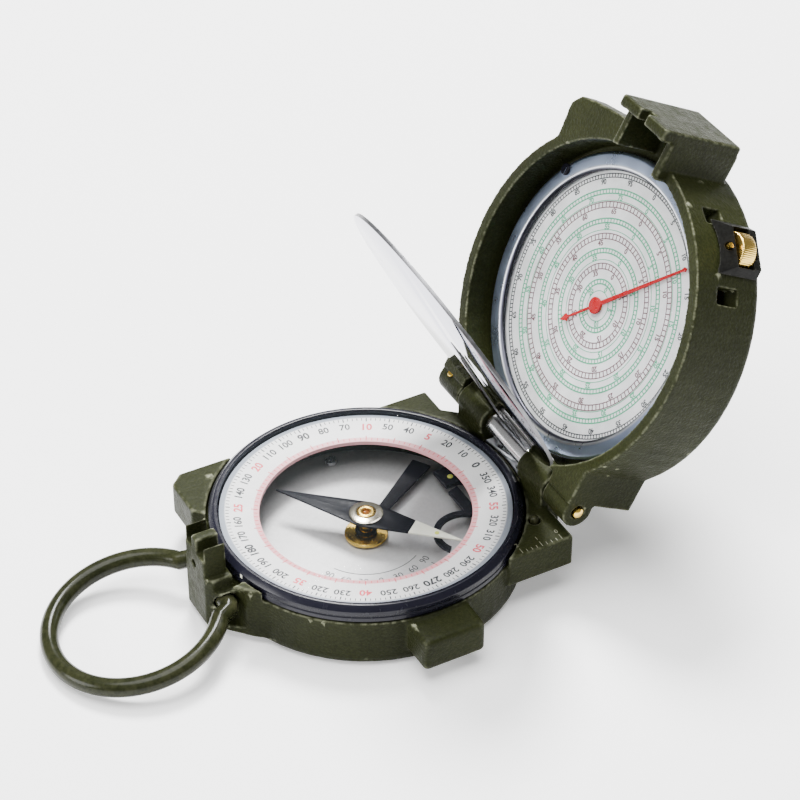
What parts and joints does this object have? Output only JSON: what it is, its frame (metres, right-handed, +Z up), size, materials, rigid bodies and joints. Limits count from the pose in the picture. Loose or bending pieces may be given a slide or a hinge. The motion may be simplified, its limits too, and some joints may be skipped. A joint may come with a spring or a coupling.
{
  "type": "folding sighting compass",
  "caption": "Folding die-cast sighting compass with a turning bezel, slotted mirror, finger ring, and a hinged lid that holds a map measurer.",
  "frame": {"origin": "on the dial's axis in the plane of the flat underside", "axes": "+X from the finger ring towards the lid's hinge, +Y away from the square side lug, +Z up"},
  "size_m": [0.1328, 0.0653, 0.0783],
  "materials": {
    "olive_paint": "olive wrinkle enamel on a die casting",
    "bezel_black": "gloss blue-black",
    "black_paint": "satin black",
    "needle_black": "satin black with a pale north end",
    "dial_white": "white with black and red print",
    "lid_dial_print": "white with green and dark print",
    "clear_glass": "clear",
    "satin_grey": "satin",
    "leaf_steel": "satin",
    "steel": "bright",
    "chrome": "polished",
    "brass": "satin",
    "polished_brass": "polished",
    "mirror_glass": "silvered",
    "blue_anodised": "blue-grey anodised",
    "jewel_red": "polished jewel",
    "pointer_red": "satin red"
  },
  "bodies": {
    "base": {"base_body": "olive_paint", "dial_plate": "satin_grey", "dial_plate_screw_1": "steel", "dial_plate_screw_2": "steel", "dial_plate_screw_3": "steel", "pivot_flange": "brass", "pivot_tip": "steel", "index_block": "black_paint", "friction_leaf": "leaf_steel", "leaf_rivet_1": "steel", "leaf_rivet_2": "steel", "hinge_pin": "brass", "bezel_snap_wire": "steel"},
    "bezel": {"bezel_ring": "bezel_black", "scale_ring": "dial_white", "dial_crystal": "clear_glass"},
    "needle": {"needle_blade": "needle_black", "needle_cap": "brass", "needle_jewel": "jewel_red"},
    "clinometer": {"clinometer_pendulum": "black_paint"},
    "needle_lever": {"needle_lever": "black_paint"},
    "lock_pin": {"needle_lock_pin": "steel"},
    "finger_ring": {"finger_ring": "olive_paint"},
    "mirror": {"mirror_plate": "mirror_glass", "mirror_barrel": "chrome"},
    "lid": {"lid_body": "olive_paint", "lid_ring": "blue_anodised", "lid_ring_screw": "steel", "lid_crystal": "clear_glass", "lid_dial": "lid_dial_print", "movement_plate": "brass", "wheel_bracket": "black_paint", "bracket_rivet": "brass"},
    "map_wheel": {"map_wheel": "polished_brass", "wheel_arbor": "brass"},
    "idler": {"idler_gear": "brass"},
    "pointer": {"centre_gear": "brass", "pointer": "pointer_red"}
  },
  "joints": [
    {"name": "lid_hinge", "type": "hinge", "parent": "base", "child": "lid", "pos_m": [0.0302, 0, 0.01535], "axis": [0, 1, 0], "range_deg": [-118.4, 60]},
    {"name": "mirror_hinge", "type": "hinge", "parent": "base", "child": "mirror", "pos_m": [0.0302, 0, 0.01535], "axis": [0, 1, 0], "range_deg": [-64.7, 33]},
    {"name": "bezel_turn", "type": "hinge", "parent": "base", "child": "bezel", "pos_m": [0, 0, 0.0113], "axis": [0, 0, 1], "continuous": true},
    {"name": "needle_turn", "type": "hinge", "parent": "base", "child": "needle", "pos_m": [0, 0, 0.0101], "axis": [0, 0, 1], "continuous": true},
    {"name": "clinometer_turn", "type": "hinge", "parent": "base", "child": "clinometer", "pos_m": [0, 0, 0.0068], "axis": [0, 0, 1], "continuous": true},
    {"name": "lever_tilt", "type": "hinge", "parent": "base", "child": "needle_lever", "pos_m": [0.0183, -0.002, 0.0078], "axis": [0, 1, 0], "range_deg": [-1.3, 2.5]},
    {"name": "lock_pin_slide", "type": "slide", "parent": "base", "child": "lock_pin", "axis": [0, 0, 1], "range_m": [-0.001, 0.0006]},
    {"name": "ring_swing", "type": "hinge", "parent": "base", "child": "finger_ring", "pos_m": [-0.0305, 0, 0.007], "axis": [0, 1, 0], "range_deg": [-75, 90]},
    {"name": "map_wheel_turn", "type": "hinge", "parent": "lid", "child": "map_wheel", "pos_m": [0.06199, -0.01956, 0.05879], "axis": [-0.8796, 0, 0.4756], "continuous": true},
    {"name": "idler_turn", "type": "hinge", "parent": "lid", "child": "idler", "pos_m": [0.05875, -0.01288, 0.05133], "axis": [-0.8796, 0, 0.4756], "continuous": true},
    {"name": "pointer_turn", "type": "hinge", "parent": "lid", "child": "pointer", "pos_m": [0.04956, 0, 0.03853], "axis": [-0.8796, 0, 0.4756], "continuous": true}
  ],
  "couplings": [
    {"joint": "mirror_hinge", "follows": "lid_hinge", "ratio": 0.54645},
    {"joint": "lock_pin_slide", "follows": "lid_hinge", "m_per_rad": 0.00048392},
    {"joint": "lever_tilt", "follows": "lid_hinge", "ratio": -0.02},
    {"joint": "idler_turn", "follows": "map_wheel_turn", "ratio": -0.23529},
    {"joint": "pointer_turn", "follows": "map_wheel_turn", "ratio": 0.025786}
  ]
}
